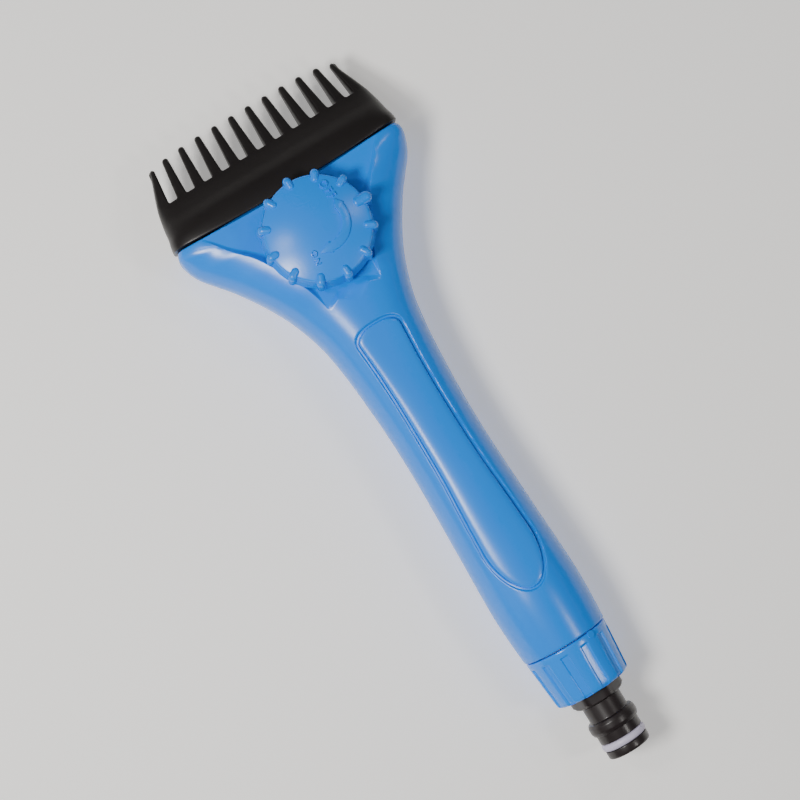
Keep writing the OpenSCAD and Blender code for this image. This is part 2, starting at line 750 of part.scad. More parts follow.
front_shell();
rear_shell();
grip_inlay();
comb_head();
comb_gasket();
spray_manifold();
manifold_o_ring();
valve_body();
ball_seats();
threaded_neck();
inlet_tube();
tube_o_rings();
shell_screws();
knob();
valve_stem();
stem_o_rings();
valve_ball();
hose_spigot();
spigot_o_ring();
hose_washer();
coupling_nut();
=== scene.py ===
import math

import bmesh
import bpy
import numpy as np
from mathutils import Matrix, Vector


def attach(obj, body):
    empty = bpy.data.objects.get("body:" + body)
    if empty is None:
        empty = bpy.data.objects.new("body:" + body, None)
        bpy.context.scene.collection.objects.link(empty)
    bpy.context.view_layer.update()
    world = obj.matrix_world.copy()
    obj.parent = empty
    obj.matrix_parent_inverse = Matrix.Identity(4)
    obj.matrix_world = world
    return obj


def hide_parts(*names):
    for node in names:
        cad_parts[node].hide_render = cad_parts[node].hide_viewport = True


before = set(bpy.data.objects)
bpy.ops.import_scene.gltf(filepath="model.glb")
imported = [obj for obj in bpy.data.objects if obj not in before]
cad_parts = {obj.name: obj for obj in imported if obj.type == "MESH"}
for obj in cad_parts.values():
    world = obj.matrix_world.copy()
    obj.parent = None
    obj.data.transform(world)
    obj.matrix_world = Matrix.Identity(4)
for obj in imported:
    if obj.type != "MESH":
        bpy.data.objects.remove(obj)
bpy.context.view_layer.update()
print("frame loaded:", len(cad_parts), "nodes")

# Distances are in millimetres here and become metres when a mesh is made
mm = 0.001


# A new object in the scene
def added(name, data):
    made = bpy.data.objects.new(name, data)
    bpy.context.scene.collection.objects.link(made)
    return made


# The camera looks down at the floor and leans a little to the left
view = {
    "target": (-4.7, 140.85, 0.0), "distance": 747.4, "lean": 4.8, "up": (0.5255, 0.8509, 0.0),
    "lens": 99.6, "sensor": 36, "clipStart": 0.01, "clipEnd": 20,
}
camera = added("camera", bpy.data.cameras.new("camera"))
bpy.context.scene.camera = camera
lean = math.radians(view["lean"])
back = Vector((-math.sin(lean), 0, math.cos(lean)))
right = Vector(view["up"]).cross(back).normalized()
turn = Matrix((right, back.cross(right), back)).transposed()
eye = Vector(view["target"]) + back * view["distance"]
camera.matrix_world = Matrix.Translation(eye * mm) @ turn.to_4x4()
camera.data.lens = view["lens"]
camera.data.sensor_width = view["sensor"]
camera.data.clip_start = view["clipStart"]
camera.data.clip_end = view["clipEnd"]

# Round area lights that all aim at one point: place and size in metres, power in watts, tint
lightAim = (0, 0.14, 0)
lights = {
    "keyLight": ((-0.35, 0.175, 0.60), 0.18, 3.9, (1.0, 0.985, 0.96)),
    "crestLight": ((-0.26, 0.40, 0.62), 0.13, 0.7, (1.0, 0.985, 0.96)),
    "sideLight": ((-0.95, 0.16, 0.46), 0.60, 0.5, (1.0, 0.985, 0.97)),
    "fillLight": ((0.34, -0.17, 0.57), 0.13, 0.7, (1.0, 0.97, 0.94)),
    "glintLight": ((0.38, 0.33, 0.55), 0.07, 0.25, (1.0, 0.97, 0.94)),
}
for name, (place, size, power, tint) in lights.items():
    lamp = added(name, bpy.data.lights.new(name, "AREA"))
    lamp.data.shape = "DISK"
    lamp.data.size = size
    lamp.data.energy = power
    lamp.data.color = tint
    lamp.location = place
    aim = Vector(lightAim) - Vector(place)
    lamp.rotation_euler = aim.to_track_quat("-Z", "Y").to_euler()

sky = {"tint": (0.93, 0.95, 1.0), "strength": 0.09}
world = bpy.data.worlds.new("studio")
bpy.context.scene.world = world
world.use_nodes = True
skyNode = world.node_tree.nodes["Background"]
skyNode.inputs["Color"].default_value = (*sky["tint"], 1)
skyNode.inputs["Strength"].default_value = sky["strength"]

# Materials: a moulded surface has a fine grain in its height and slow clouds in its gloss
finish = {"coatRough": 0.12, "grainDetail": 2, "grainHeight": 0.0002, "cloudScale": 60}


def surface(name, colour, rough, coat=0.0, metal=0.0, grain=0.0, grainScale=900.0, mottle=0.0, specular=0.5):
    made = bpy.data.materials.new(name)
    made.use_nodes = True
    nodes, links = made.node_tree.nodes, made.node_tree.links
    shader = nodes["Principled BSDF"]
    values = {
        "Base Color": (*colour, 1), "Roughness": rough, "Metallic": metal, "Specular IOR Level": specular,
        "Coat Weight": coat, "Coat Roughness": finish["coatRough"],
    }
    for label, value in values.items():
        shader.inputs[label].default_value = value
    if grain or mottle:
        place = nodes.new("ShaderNodeTexCoord")
    if grain:
        noise = nodes.new("ShaderNodeTexNoise")
        noise.inputs["Scale"].default_value = grainScale
        noise.inputs["Detail"].default_value = finish["grainDetail"]
        bump = nodes.new("ShaderNodeBump")
        bump.inputs["Strength"].default_value = grain
        bump.inputs["Distance"].default_value = finish["grainHeight"]
        links.new(place.outputs["Object"], noise.inputs["Vector"])
        links.new(noise.outputs["Fac"], bump.inputs["Height"])
        links.new(bump.outputs["Normal"], shader.inputs["Normal"])
    if mottle:
        cloud = nodes.new("ShaderNodeTexNoise")
        cloud.inputs["Scale"].default_value = finish["cloudScale"]
        ramp = nodes.new("ShaderNodeMapRange")
        ramp.inputs["To Min"].default_value = rough - mottle
        ramp.inputs["To Max"].default_value = rough + mottle
        links.new(place.outputs["Object"], cloud.inputs["Vector"])
        links.new(cloud.outputs["Fac"], ramp.inputs["Value"])
        links.new(ramp.outputs["Result"], shader.inputs["Roughness"])
    return made


blue = (0.0, 0.25, 0.95)
looks = {
    "blueBody": surface("blueBody", blue, 0.25, grain=0.05, mottle=0.03),
    "blueGrip": surface("blueGrip", blue, 0.26, grain=0.05, mottle=0.03),
    "blueKnob": surface("blueKnob", blue, 0.27, grain=0.05, mottle=0.03),
    "blueNut": surface("blueNut", (0.0005, 0.265, 0.98), 0.22, coat=0.25, mottle=0.03, specular=0.4),
    "blackPlastic": surface("blackPlastic", (0.011, 0.0088, 0.0086), 0.38, grain=0.1, mottle=0.04,
                            grainScale=1400),
    "blackSpigot": surface("blackSpigot", (0.018, 0.013, 0.0135), 0.34, coat=0.1, mottle=0.04),
    "greyRing": surface("greyRing", (0.64, 0.60, 0.76), 0.42, mottle=0.03),
    "blackRubber": surface("blackRubber", (0.018, 0.018, 0.019), 0.6),
    "whitePlastic": surface("whitePlastic", (0.78, 0.78, 0.75), 0.35),
    "steel": surface("steel", (0.55, 0.56, 0.58), 0.28, metal=1.0),
    "ballSteel": surface("ballSteel", (0.75, 0.76, 0.78), 0.08, metal=1.0),
    "paleFloor": surface("paleFloor", (0.84, 0.83, 0.81), 0.85, specular=0.2),
}

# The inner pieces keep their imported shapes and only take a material
innerLooks = {
    "comb_gasket": "blackRubber", "spray_manifold": "whitePlastic", "manifold_o_ring": "blackRubber",
    "valve_body": "whitePlastic", "ball_seats": "whitePlastic", "inlet_tube": "whitePlastic",
    "tube_o_rings": "blackRubber", "valve_stem": "steel", "stem_o_rings": "blackRubber",
    "valve_ball": "ballSteel", "hose_washer": "blackRubber",
}
for node, look in innerLooks.items():
    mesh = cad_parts[node].data
    mesh.materials.clear()
    mesh.materials.append(looks[look])

# The floor glows a little of its own, so that it stays pale under the small lights
ground = {"height": -16.55, "half": 3000.0, "glowTint": (1.0, 0.985, 0.96), "glow": 0.38}
glow = looks["paleFloor"].node_tree.nodes["Principled BSDF"]
glow.inputs["Emission Color"].default_value = (*ground["glowTint"], 1)
glow.inputs["Emission Strength"].default_value = ground["glow"]
corners = [(x * ground["half"] * mm, y * ground["half"] * mm, ground["height"] * mm)
           for x, y in ((-1, -1), (1, -1), (1, 1), (-1, 1))]
floorMesh = bpy.data.meshes.new("floor")
floorMesh.from_pydata(corners, [], [(0, 1, 2, 3)])
floorMesh.materials.append(looks["paleFloor"])
floor = added("floor", floorMesh)
print("camera, light and materials made")


# Tools for shapes
def smooth(t):
    t = np.clip(t, 0.0, 1.0)
    return t * t * (3 - 2 * t)


# How far a quarter-round edge of radius r has stepped in at a distance d from its end
def roundEdge(d, r):
    return np.where(d < r, r - np.sqrt(np.maximum(r ** 2 - (r - d) ** 2, 0)), 0)


# The smooth curve through column c of a table whose first column is the distance
def along(table, c, y):
    t = np.asarray(table, float)
    y = np.asarray(y, float)
    count = len(t)
    before = np.maximum(np.arange(count) - 1, 0)
    after = np.minimum(np.arange(count) + 1, count - 1)
    grade = (t[after, c] - t[before, c]) / (t[after, 0] - t[before, 0])
    i = np.clip(np.searchsorted(t[:, 0], y, side="right") - 1, 0, count - 2)
    h = t[i + 1, 0] - t[i, 0]
    s = (y - t[i, 0]) / h
    p, q, m, k = t[i, c], t[i + 1, c], grade[i] * h, grade[i + 1] * h
    return p + s * (m + s * (3 * (q - p) - 2 * m - k + s * (2 * (p - q) + m + k)))


# Quads over a grid of points, rows by columns
def gridFaces(rows, cols, wrap=False, start=0):
    faces = []
    for i in range(rows - 1):
        for j in range(cols if wrap else cols - 1):
            a, b = start + i * cols + j, start + i * cols + (j + 1) % cols
            faces.append((a, b, b + cols, a + cols))
    return faces


# The two end faces of a stack of closed rings
def endFaces(rows, cols):
    return [list(range(cols)), [(rows - 1) * cols + k for k in range(cols)]]


# A mesh object from points in millimetres, faces turned outward, edges sharper than the angle kept
def solid(name, points, faces, look, sharp=38):
    mesh = bpy.data.meshes.new(name)
    mesh.from_pydata([tuple(float(v) * mm for v in p) for p in points], [], faces)
    mesh.materials.append(looks[look])
    made = added(name, mesh)
    tidy(made, sharp)
    return made


def tidy(made, sharp=38, weld=1e-7):
    work = bmesh.new()
    work.from_mesh(made.data)
    bmesh.ops.remove_doubles(work, verts=work.verts, dist=weld)
    bmesh.ops.dissolve_degenerate(work, edges=work.edges, dist=weld)
    bmesh.ops.recalc_face_normals(work, faces=work.faces)
    work.to_mesh(made.data)
    work.free()
    made.data.shade_smooth()
    made.data.set_sharp_from_angle(angle=math.radians(sharp))


def cut(made, cutter, sharp=38):
    step = made.modifiers.new("cut", "BOOLEAN")
    step.object = cutter
    step.operation = "DIFFERENCE"
    step.solver = "EXACT"
    bake(made)
    bpy.data.objects.remove(cutter)
    tidy(made, sharp)


# Replaces an object's mesh by the one its modifiers make
def bake(made):
    graph = bpy.context.evaluated_depsgraph_get()
    graph.update()
    mesh = bpy.data.meshes.new_from_object(made.evaluated_get(graph), depsgraph=graph)
    made.modifiers.clear()
    made.data = mesh


# One object from several, with each material kept once
def joined(name, pieces):
    work = bmesh.new()
    looksOf = []
    for piece in pieces:
        base = len(looksOf)
        looksOf += list(piece.data.materials)
        count = len(work.faces)
        work.from_mesh(piece.data)
        work.faces.ensure_lookup_table()
        for face in work.faces[count:]:
            face.material_index += base
    mesh = bpy.data.meshes.new(name)
    work.to_mesh(mesh)
    work.free()
    kept = []
    for look in looksOf:
        if look not in kept:
            kept.append(look)
            mesh.materials.append(look)
    order = np.array([kept.index(look) for look in looksOf], dtype=np.int32)
    slots = np.zeros(len(mesh.polygons), dtype=np.int32)
    mesh.polygons.foreach_get("material_index", slots)
    mesh.polygons.foreach_set("material_index", order[slots])
    for piece in pieces:
        bpy.data.objects.remove(piece)
    return added(name, mesh)


# A profile of radius and distance with rounded corners: each point is (r, y) or (r, y, rounding)
def rounded(profile, steps=5, most=0.49):
    out = []
    n = len(profile)
    for i, point in enumerate(profile):
        r = point[2] if len(point) > 2 else 0
        p = np.array(point[:2], float)
        if not r:
            out.append(p)
            continue
        a = np.array(profile[(i - 1) % n][:2], float) - p
        b = np.array(profile[(i + 1) % n][:2], float) - p
        la, lb = np.linalg.norm(a), np.linalg.norm(b)
        a, b = a / la, b / lb
        half = math.acos(max(-1, min(1, float(a @ b)))) / 2
        reach = min(r / math.tan(half), la * most, lb * most)
        start, end = p + a * reach, p + b * reach
        for k in range(steps + 1):
            t = k / steps
            out.append((1 - t) ** 2 * start + 2 * t * (1 - t) * p + t * t * end)
    return np.array(out)


# A closed profile of radius and distance turned about the handle's axis
def lathe(name, profile, look, turns=96, sharp=38, wave=None):
    ring = rounded(profile)
    points, m = [], len(ring)
    for k in range(turns):
        a = 2 * math.pi * k / turns
        for r, y in ring:
            rr = r if wave is None else wave(r, y, a)
            points.append((rr * math.sin(a), y, rr * math.cos(a)))
    faces = [(k * m + j, k * m + (j + 1) % m, ((k + 1) % turns) * m + (j + 1) % m, ((k + 1) % turns) * m + j)
             for k in range(turns) for j in range(m)]
    return solid(name, points, faces, look, sharp)


# Points of a ring about Z, one ring for each radius and height
def ringsAboutZ(outline, turns):
    return [(r * math.cos(2 * math.pi * k / turns), r * math.sin(2 * math.pi * k / turns), z)
            for r, z in outline for k in range(turns)]


def cylinder(name, radius, low, high, look, turns=48):
    points = ringsAboutZ([(radius, low), (radius, high)], turns)
    faces = gridFaces(2, turns, wrap=True) + endFaces(2, turns)
    return solid(name, points, faces, look)


# Geometry Nodes tree that sets copies of a piece along a line, each turned further about Z
def copiesTree():
    tree = bpy.data.node_groups.new("copies", "GeometryNodeTree")
    face = tree.interface
    face.new_socket("Geometry", in_out="INPUT", socket_type="NodeSocketGeometry")
    inputs = {
        "Piece": "NodeSocketObject", "Count": "NodeSocketInt", "Start": "NodeSocketVector",
        "Step": "NodeSocketVector", "Turn": "NodeSocketFloat", "First": "NodeSocketInt",
        "Look": "NodeSocketMaterial",
    }
    for label, kind in inputs.items():
        face.new_socket(label, in_out="INPUT", socket_type=kind)
    face.new_socket("Geometry", in_out="OUTPUT", socket_type="NodeSocketGeometry")
    nodes, links = tree.nodes, tree.links
    given, out = nodes.new("NodeGroupInput"), nodes.new("NodeGroupOutput")
    line = nodes.new("GeometryNodeMeshLine")
    line.mode = "OFFSET"
    info = nodes.new("GeometryNodeObjectInfo")
    put = nodes.new("GeometryNodeInstanceOnPoints")
    index = nodes.new("GeometryNodeInputIndex")
    plus, times = nodes.new("ShaderNodeMath"), nodes.new("ShaderNodeMath")
    plus.operation, times.operation = "ADD", "MULTIPLY"
    spin = nodes.new("ShaderNodeCombineXYZ")
    real = nodes.new("GeometryNodeRealizeInstances")
    paint = nodes.new("GeometryNodeSetMaterial")
    links.new(given.outputs["Count"], line.inputs["Count"])
    links.new(given.outputs["Start"], line.inputs["Start Location"])
    links.new(given.outputs["Step"], line.inputs["Offset"])
    links.new(given.outputs["Piece"], info.inputs["Object"])
    links.new(line.outputs["Mesh"], put.inputs["Points"])
    links.new(info.outputs["Geometry"], put.inputs["Instance"])
    links.new(index.outputs["Index"], plus.inputs[0])
    links.new(given.outputs["First"], plus.inputs[1])
    links.new(plus.outputs[0], times.inputs[0])
    links.new(given.outputs["Turn"], times.inputs[1])
    links.new(times.outputs[0], spin.inputs["Z"])
    links.new(spin.outputs["Vector"], put.inputs["Rotation"])
    links.new(put.outputs["Instances"], real.inputs["Geometry"])
    links.new(real.outputs["Geometry"], paint.inputs["Geometry"])
    links.new(given.outputs["Look"], paint.inputs["Material"])
    links.new(paint.outputs["Geometry"], out.inputs["Geometry"])
    return tree


copyTree = copiesTree()


def copies(piece, count, start=(0, 0, 0), step=(0, 0, 0), turn=0.0, first=0, sharp=38):
    made = added(piece.name + "Copies", bpy.data.meshes.new(piece.name + "Copies"))
    stepper = made.modifiers.new("copies", "NODES")
    stepper.node_group = copyTree
    values = {
        "Piece": piece, "Count": count, "Start": [v * mm for v in start], "Step": [v * mm for v in step],
        "Turn": turn, "First": first, "Look": piece.data.materials[0],
    }
    for socket in copyTree.interface.items_tree:
        if socket.in_out == "INPUT" and socket.name in values:
            stepper[socket.identifier] = values[socket.name]
    bake(made)
    bpy.data.objects.remove(piece)
    tidy(made, sharp)
    return made


# Turns a finished mesh's own points about an axis and moves them, so that its object stays at the origin
def placed(made, place=(0, 0, 0), angle=0.0, axis="X"):
    move = Matrix.Translation(Vector(place) * mm)
    made.data.transform(move @ Matrix.Rotation(math.radians(angle), 4, axis))
    return made


# The head leans back from the handle about the valve's centre
head = {"valveY": 201.0, "tilt": 5.0}
headCos, headSin = math.cos(math.radians(head["tilt"])), math.sin(math.radians(head["tilt"]))


def fromHead(points):
    p = np.asarray(points, float)
    return np.stack([p[:, 0], head["valveY"] + p[:, 1] * headCos + p[:, 2] * headSin,
                     -p[:, 1] * headSin + p[:, 2] * headCos], 1)


def toHead(made):
    return placed(made, (0, head["valveY"], 0), -head["tilt"])


def stand(made, body, *nodes):
    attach(made, body)
    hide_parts(*nodes)
    print(made.name, "made:", len(made.data.polygons), "faces")


# Handle and head shells
shell = {
    "handleY": 42.8, "seamY": 219.7, "bow": 1.8, "headHalf": 43.7, "wall": 2.4, "endWall": 2.5, "edge": 0.4,
    "flatBack": 16.4, "flatSoft": 0.35, "neckHole": 11.5, "neckHoleY": 44.0, "towerHole": 6.2,
    # distance, half width, front height, back depth, squareness
    "rows": [
        (42.8, 15.5, 15.5, 15.5, 2), (53.15, 16.175, 16.125, 16.15, 2), (63.5, 16.35, 16.35, 16.4, 2),
        (91.15, 15.325, 15.325, 15.45, 2.05), (118.8, 14.5, 14.5, 14.7, 2.05),
        (142.4, 15.15, 14.7, 15.2, 2.1), (166, 17.5, 15.75, 15.6, 2.3), (180, 21.6, 16.4, 16.3, 2.4),
        (190, 26.5, 17.3, 16.8, 2.5), (200, 33, 17.8, 17, 2.3), (205, 37, 17.8, 17, 2.15),
        (210, 41, 17, 16.8, 2.25), (215, 43.3, 14.6, 16.1, 3), (219.7, 43.7, 12.4, 15.2, 5),
        (223.3, 41.3, 12, 14.8, 5)],
}
# The sunk deck round the knob, in the head's frame
deck = {
    "height": 13.0, "wallSlope": 0.62, "wallFoot": 0.25, "topSoft": 0.1, "footSoft": 0.24,
    # distance from the valve's centre, half width
    "rows": [(-24.4, 10.3), (-17, 12.0), (-11, 14.4), (-6, 17.0), (-1, 19.4), (4, 22.6), (9.5, 27.6),
             (16.6, 32.8), (23.7, 38)],
    # the rear edge bows towards the comb, and its sloping wall is wider in the middle
    "rearAt": -21.4, "rearBow": 3.0, "rearWall": 1.9, "rearSpread": 4.0, "spreadHalf": 6, "spreadPower": 1.5,
}
grip = {
    "low": 64.2, "length": 103.4, "bulb": 17.8, "crest": 5.3, "crestPower": 0.8,
    # distance, half width
    "rows": [(82, 9.85), (96.25, 9.1), (110.73, 8.175), (135.55, 7.8), (150.02, 8.1), (162.3, 8.85)],
    "gap": 0.05, "thickness": 1.3, "lip": 0.5, "lipDeep": 0.35, "lipPower": 1.5,
    "slotSteep": 5, "slotSpare": 0.25, "ledge": 0.3, "ledgeDeep": 0.5,
    "line": 0.76, "lineWidth": 0.22, "lineDeep": 0.95,
    "pillow": 2.0, "pillowDeep": 0.42, "flat": 0.8, "flatHalf": 8, "flatSoft": 0.4, "sunk": 0.25,
    # what lies further out than this counts as away from the panel
    "nearHalf": 14, "nearLow": 60, "nearHigh": 172, "away": -6.0,
}
# How the lines of the shells' meshes follow their shapes
skin = {
    "bowFrom": 205,  # from here on the rings bend towards the bowed seam
    "deckFrom": 168.5, "deckOver": 8,  # here the lines pass from the grip's spacing to the deck's
    "gripHalf": 11.4, "coreMost": 0.93,  # half width of the evenly spaced lines, and its most of the shell's
    "wallShare": 20 / 71, "wallInside": 2.2, "wallSpan": 2.7,  # the lines that crowd on the deck's side wall
    "partingStep": 0.10, "hollowPast": 6, "hollowBelow": 2.0,  # the hollow reaches past seam and parting line
}
seamRadius = (shell["headHalf"] ** 2 + shell["bow"] ** 2) / (2 * shell["bow"])
deckRows = np.array(deck["rows"], float)
deckSlopes = np.gradient(deckRows[:, 1], deckRows[:, 0])


def seamBow(x):
    return seamRadius - np.sqrt(np.maximum(seamRadius ** 2 - x * x, 0))


# Half of the grip panel's outline from the middle of its lower end to the middle of its upper end
def gripSide():
    first, last = grip["low"] + grip["bulb"], grip["low"] + grip["length"] - grip["crest"]
    lowHalf, topHalf, power = grip["rows"][0][1], grip["rows"][-1][1], grip["crestPower"]
    bulb = [(lowHalf * math.cos(a), first + grip["bulb"] * math.sin(a))
            for a in np.linspace(-math.pi / 2, 0, 44)]
    ys = np.linspace(first, last, 150)[1:-1]
    side = list(zip(along(grip["rows"], 1, ys), ys))
    crest = [(topHalf * max(math.cos(a), 0) ** power, last + grip["crest"] * max(math.sin(a), 0) ** power)
             for a in np.linspace(0, math.pi / 2, 34)]
    return np.array(bulb + side + crest)


gripHalf = gripSide()


# Distance inside the grip panel's outline, negative outside it
def gripInside(x, y, batch=20000):
    x, y = np.abs(np.asarray(x, float)), np.asarray(y, float)
    p = np.stack([x.ravel(), y.ravel()], 1)
    inside = np.full(len(p), grip["away"])
    near = (p[:, 0] < grip["nearHalf"]) & (p[:, 1] > grip["nearLow"]) & (p[:, 1] < grip["nearHigh"])
    q = p[near]
    a, b = gripHalf[:-1], gripHalf[1:]
    ab = b - a
    best = np.zeros(len(q))
    for first in range(0, len(q), batch):
        part = q[first:first + batch, None, :]
        t = np.clip(((part - a) * ab).sum(2) / np.maximum((ab * ab).sum(1), 1e-12), 0, 1)
        d = part - (a + t[..., None] * ab)
        best[first:first + batch] = np.sqrt((d * d).sum(2).min(1))
    half = np.interp(q[:, 1], np.maximum.accumulate(gripHalf[:, 1]), gripHalf[:, 0], left=-1, right=-1)
    inside[near] = np.where(q[:, 0] < half, best, -best)
    return inside.reshape(x.shape)


def ovalHeight(x, w, h, n):
    return h * np.maximum(1 - np.abs(x / w) ** n, 0) ** (1 / n)


def deckPlane(y):
    return (deck["height"] - (y - head["valveY"]) * headSin) / headCos


# Distance from the valve's centre of a point on the deck, in the head's frame
def deckPlace(y):
    return (y - head["valveY"]) * headCos - deckPlane(y) * headSin


def deckHalf(place):
    return along(deckRows, 1, np.clip(place, deckRows[0, 0], deckRows[-1, 0]))


# Front of the shell before the grip's slot is sunk into it
def frontSurface(x, y, inset=0.0):
    w, h, n = (along(shell["rows"], c, y) for c in (1, 2, 4))
    z = ovalHeight(x, w - inset, h - inset, n)
    depth = np.maximum(z - deckPlane(y), 0)
    place = deckPlace(y)
    lean = np.interp(place, deckRows[:, 0], deckSlopes)
    side = (deckHalf(place) - np.abs(x)) / np.sqrt(1 + lean ** 2)
    side /= deck["wallSlope"] * depth + deck["wallFoot"]
    foot = deck["rearAt"] + deck["rearWall"] - deck["rearBow"] * (x / deckRows[0, 1]) ** 2
    spread = deck["rearSpread"] * np.maximum(1 - (x / deck["spreadHalf"]) ** 2, 0) ** deck["spreadPower"]
    rear = 1 + (place - foot) / (deck["rearWall"] + spread)
    a, b = deck["topSoft"], deck["footSoft"]
    t = np.clip(np.minimum(side, rear), -a, 1 + b)
    ramp = np.where(t < a, (t + a) ** 2 / (4 * a), np.where(t > 1 - b, 1 - (1 + b - t) ** 2 / (4 * b), t))
    return z - np.clip(ramp, 0, 1) * depth


def frontHeight(x, y, inset=0.0):
    lip, deep = grip["lip"], grip["lipDeep"]
    d = gripInside(x, y) + grip["gap"] + lip
    slope = deep * (np.maximum(d, 0) / lip) ** grip["lipPower"]
    slot = deep + grip["slotSteep"] * (d - lip)
    drop = np.where(d <= 0, 0, np.where(d < lip, slope, slot))
    return frontSurface(x, y, inset) - np.minimum(drop, grip["thickness"] + grip["slotSpare"])


def hollowDepth(x, y, inset):
    return np.minimum(frontSurface(x, y, inset), deckPlane(y) - shell["wall"])


# The oval back with its flat for lying down, blended softly
def backHeight(x, y, inset=0.0):
    w, h, n = (along(shell["rows"], c, y) for c in (1, 3, 4))
    z = ovalHeight(x, w - inset, h - inset, n)
    k = shell["flatSoft"]
    flat = shell["flatBack"] - inset
    blend = np.clip(0.5 + 0.5 * (flat - z) / k, 0, 1)
    return flat * (1 - blend) + z * blend - k * blend * (1 - blend)


# One shell as a closed solid: rings of points across, from the parting line over the shell and down again
def shellBody(name, height, rings, core, sides, sign, hollow=False):
    ys = np.asarray(rings, float)
    wall = shell["wall"] if hollow else 0.0
    edge = 0.0 if hollow else shell["edge"]
    start = shell["handleY"] + (shell["endWall"] if hollow else 0)
    near = np.minimum(ys - start, shell["seamY"] - ys)
    inset = wall + roundEdge(near, edge)[:, None]
    bowed = smooth((ys - skin["bowFrom"]) / (shell["seamY"] - skin["bowFrom"]))[:, None]
    k = np.arange(core + 1) / core
    deckPart = smooth((ys - skin["deckFrom"]) / skin["deckOver"])[:, None]
    foot = deckHalf(deckPlace(ys))[:, None] - skin["wallInside"]
    share = skin["wallShare"]
    wallLine = foot + skin["wallSpan"] * (k - 1 + share) / share
    deckLine = np.where(k < 1 - share, foot * k / (1 - share), wallLine)
    coreX = skin["gripHalf"] * k[None, :] * (1 - deckPart) + deckLine * deckPart
    turns = np.linspace(0, 1, sides + 1)[1:]
    y = np.repeat(ys[:, None], core + 1 + sides, 1)
    for _ in range(4):  # a bent ring meets other widths, so its place is found step by step
        w, n = (along(shell["rows"], c, y[:, core + 1:]) for c in (1, 4))
        w = w - inset
        limit = np.minimum(coreX[:, -1:], w[:, :1] * skin["coreMost"])
        x0 = coreX * limit / coreX[:, -1:]
        first = np.arccos(np.clip((x0[:, -1:] / w) ** (n / 2), 0, 1))
        angle = first * (1 - turns[None, :])
        x1 = w * np.maximum(np.cos(angle), 0) ** (2 / n)
        x = np.concatenate([x0, x1], 1)
        y = ys[:, None] + seamBow(x) * bowed
    z = height(x, y, inset)
    z[:, -1] = 0
    if not hollow:
        x[:, -1] -= skin["partingStep"]
    x = np.concatenate([x[:, ::-1], -x[:, 1:]], 1)
    y = np.concatenate([y[:, ::-1], y[:, 1:]], 1)
    z = sign * np.concatenate([z[:, ::-1], z[:, 1:]], 1)
    if hollow:
        z[:, [0, -1]] = -sign * skin["hollowBelow"]
        y[-1] += skin["hollowPast"]
    rows, cols = x.shape
    points = np.stack([x.ravel(), y.ravel(), z.ravel()], 1)
    faces = gridFaces(rows, cols)
    faces.append([i * cols for i in range(rows)] + [i * cols + cols - 1 for i in range(rows - 1, -1, -1)])
    faces += endFaces(rows, cols)
    return solid(name, points, faces, "blueBody", 30)


def span(a, b, step):
    return list(np.linspace(a, b, max(2, int(round((b - a) / step)) + 1))[:-1])


# Rings lie close over the rounded ends, and wherever an edge of the grip's slot or the deck runs across
def shellRings(stretches):
    ends = [0, 0.04, 0.12, 0.24, 0.4]
    low = [shell["handleY"] + e for e in ends[:-1]]
    high = [shell["seamY"] - e for e in reversed(ends)]
    return low + [y for stretch in stretches for y in span(*stretch)] + high


# from, to and the distance between rings
frontRings = shellRings([(43.2, 63, 1.0), (63, 80, 0.2), (80, 160, 0.8), (160, 168.5, 0.2),
                         (168.5, 176.6, 0.7), (176.6, 185, 0.2), (185, 219.3, 0.7)])
backRings = shellRings([(43.2, 180, 1.6), (180, 219.3, 0.8)])
hollowRings = [shell["handleY"] + shell["endWall"]] + span(47, 219.3, 4) + [shell["seamY"]]

# Screws, the wells they sit in and the posts round them
screws = {
    "spots": [(9.9, 71.5), (9.9, 140.8), (28, 205)], "post": 3.3, "postTop": 6, "wellFrom": -30,
    # radius and top of the well for the head, and of the hole for the shank
    "well": [(2.3, -6.0), (1.25, 4.0)],
    # radius and height of the screw's outline
    "outline": [(0, -7.5), (1.2, -7.45), (1.8, -7.2), (2.1, -6.8), (2.1, -6.0), (1.1, -6.0), (1.1, 6.4),
                (0.5, 7.4), (0, 7.5)],
    "slotHalf": 0.26, "slotReach": 1.3, "slotFloor": -6.8, "slotMouth": -8.0,
}


# Cuts round holes at each screw's place, each with its radius and top
def cutAtScrews(made, sizes, sharp=38):
    for x, y in screws["spots"]:
        for side in (-1, 1):
            for radius, top in sizes:
                drill = cylinder("drill", radius, screws["wellFrom"], top, "blueBody", 32)
                cut(made, placed(drill, (side * x, y, 0)), sharp)


def cutNeckHole(made):
    hole = cylinder("neckHole", shell["neckHole"], -3, 3, "blueBody")
    cut(made, placed(hole, (0, shell["neckHoleY"], 0), 90), 30)


front = shellBody("frontShell", frontHeight, frontRings, 71, 26, 1)
print("front skin:", len(front.data.polygons), "faces")
cut(front, shellBody("frontHollow", hollowDepth, hollowRings, 14, 6, 1, True), 30)
cutNeckHole(front)
cut(front, toHead(cylinder("towerHole", shell["towerHole"], 6, 20, "blueBody")), 30)
stand(front, "handle", "front_shell")

rear = shellBody("rearShell", backHeight, backRings, 40, 22, -1)
rearHollow = shellBody("rearHollow", backHeight, hollowRings, 14, 6, -1, True)
cutAtScrews(rearHollow, [(screws["post"], screws["postTop"])])
cut(rear, rearHollow, 30)
cutNeckHole(rear)
cutAtScrews(rear, screws["well"], 30)
stand(rear, "handle", "rear_shell")


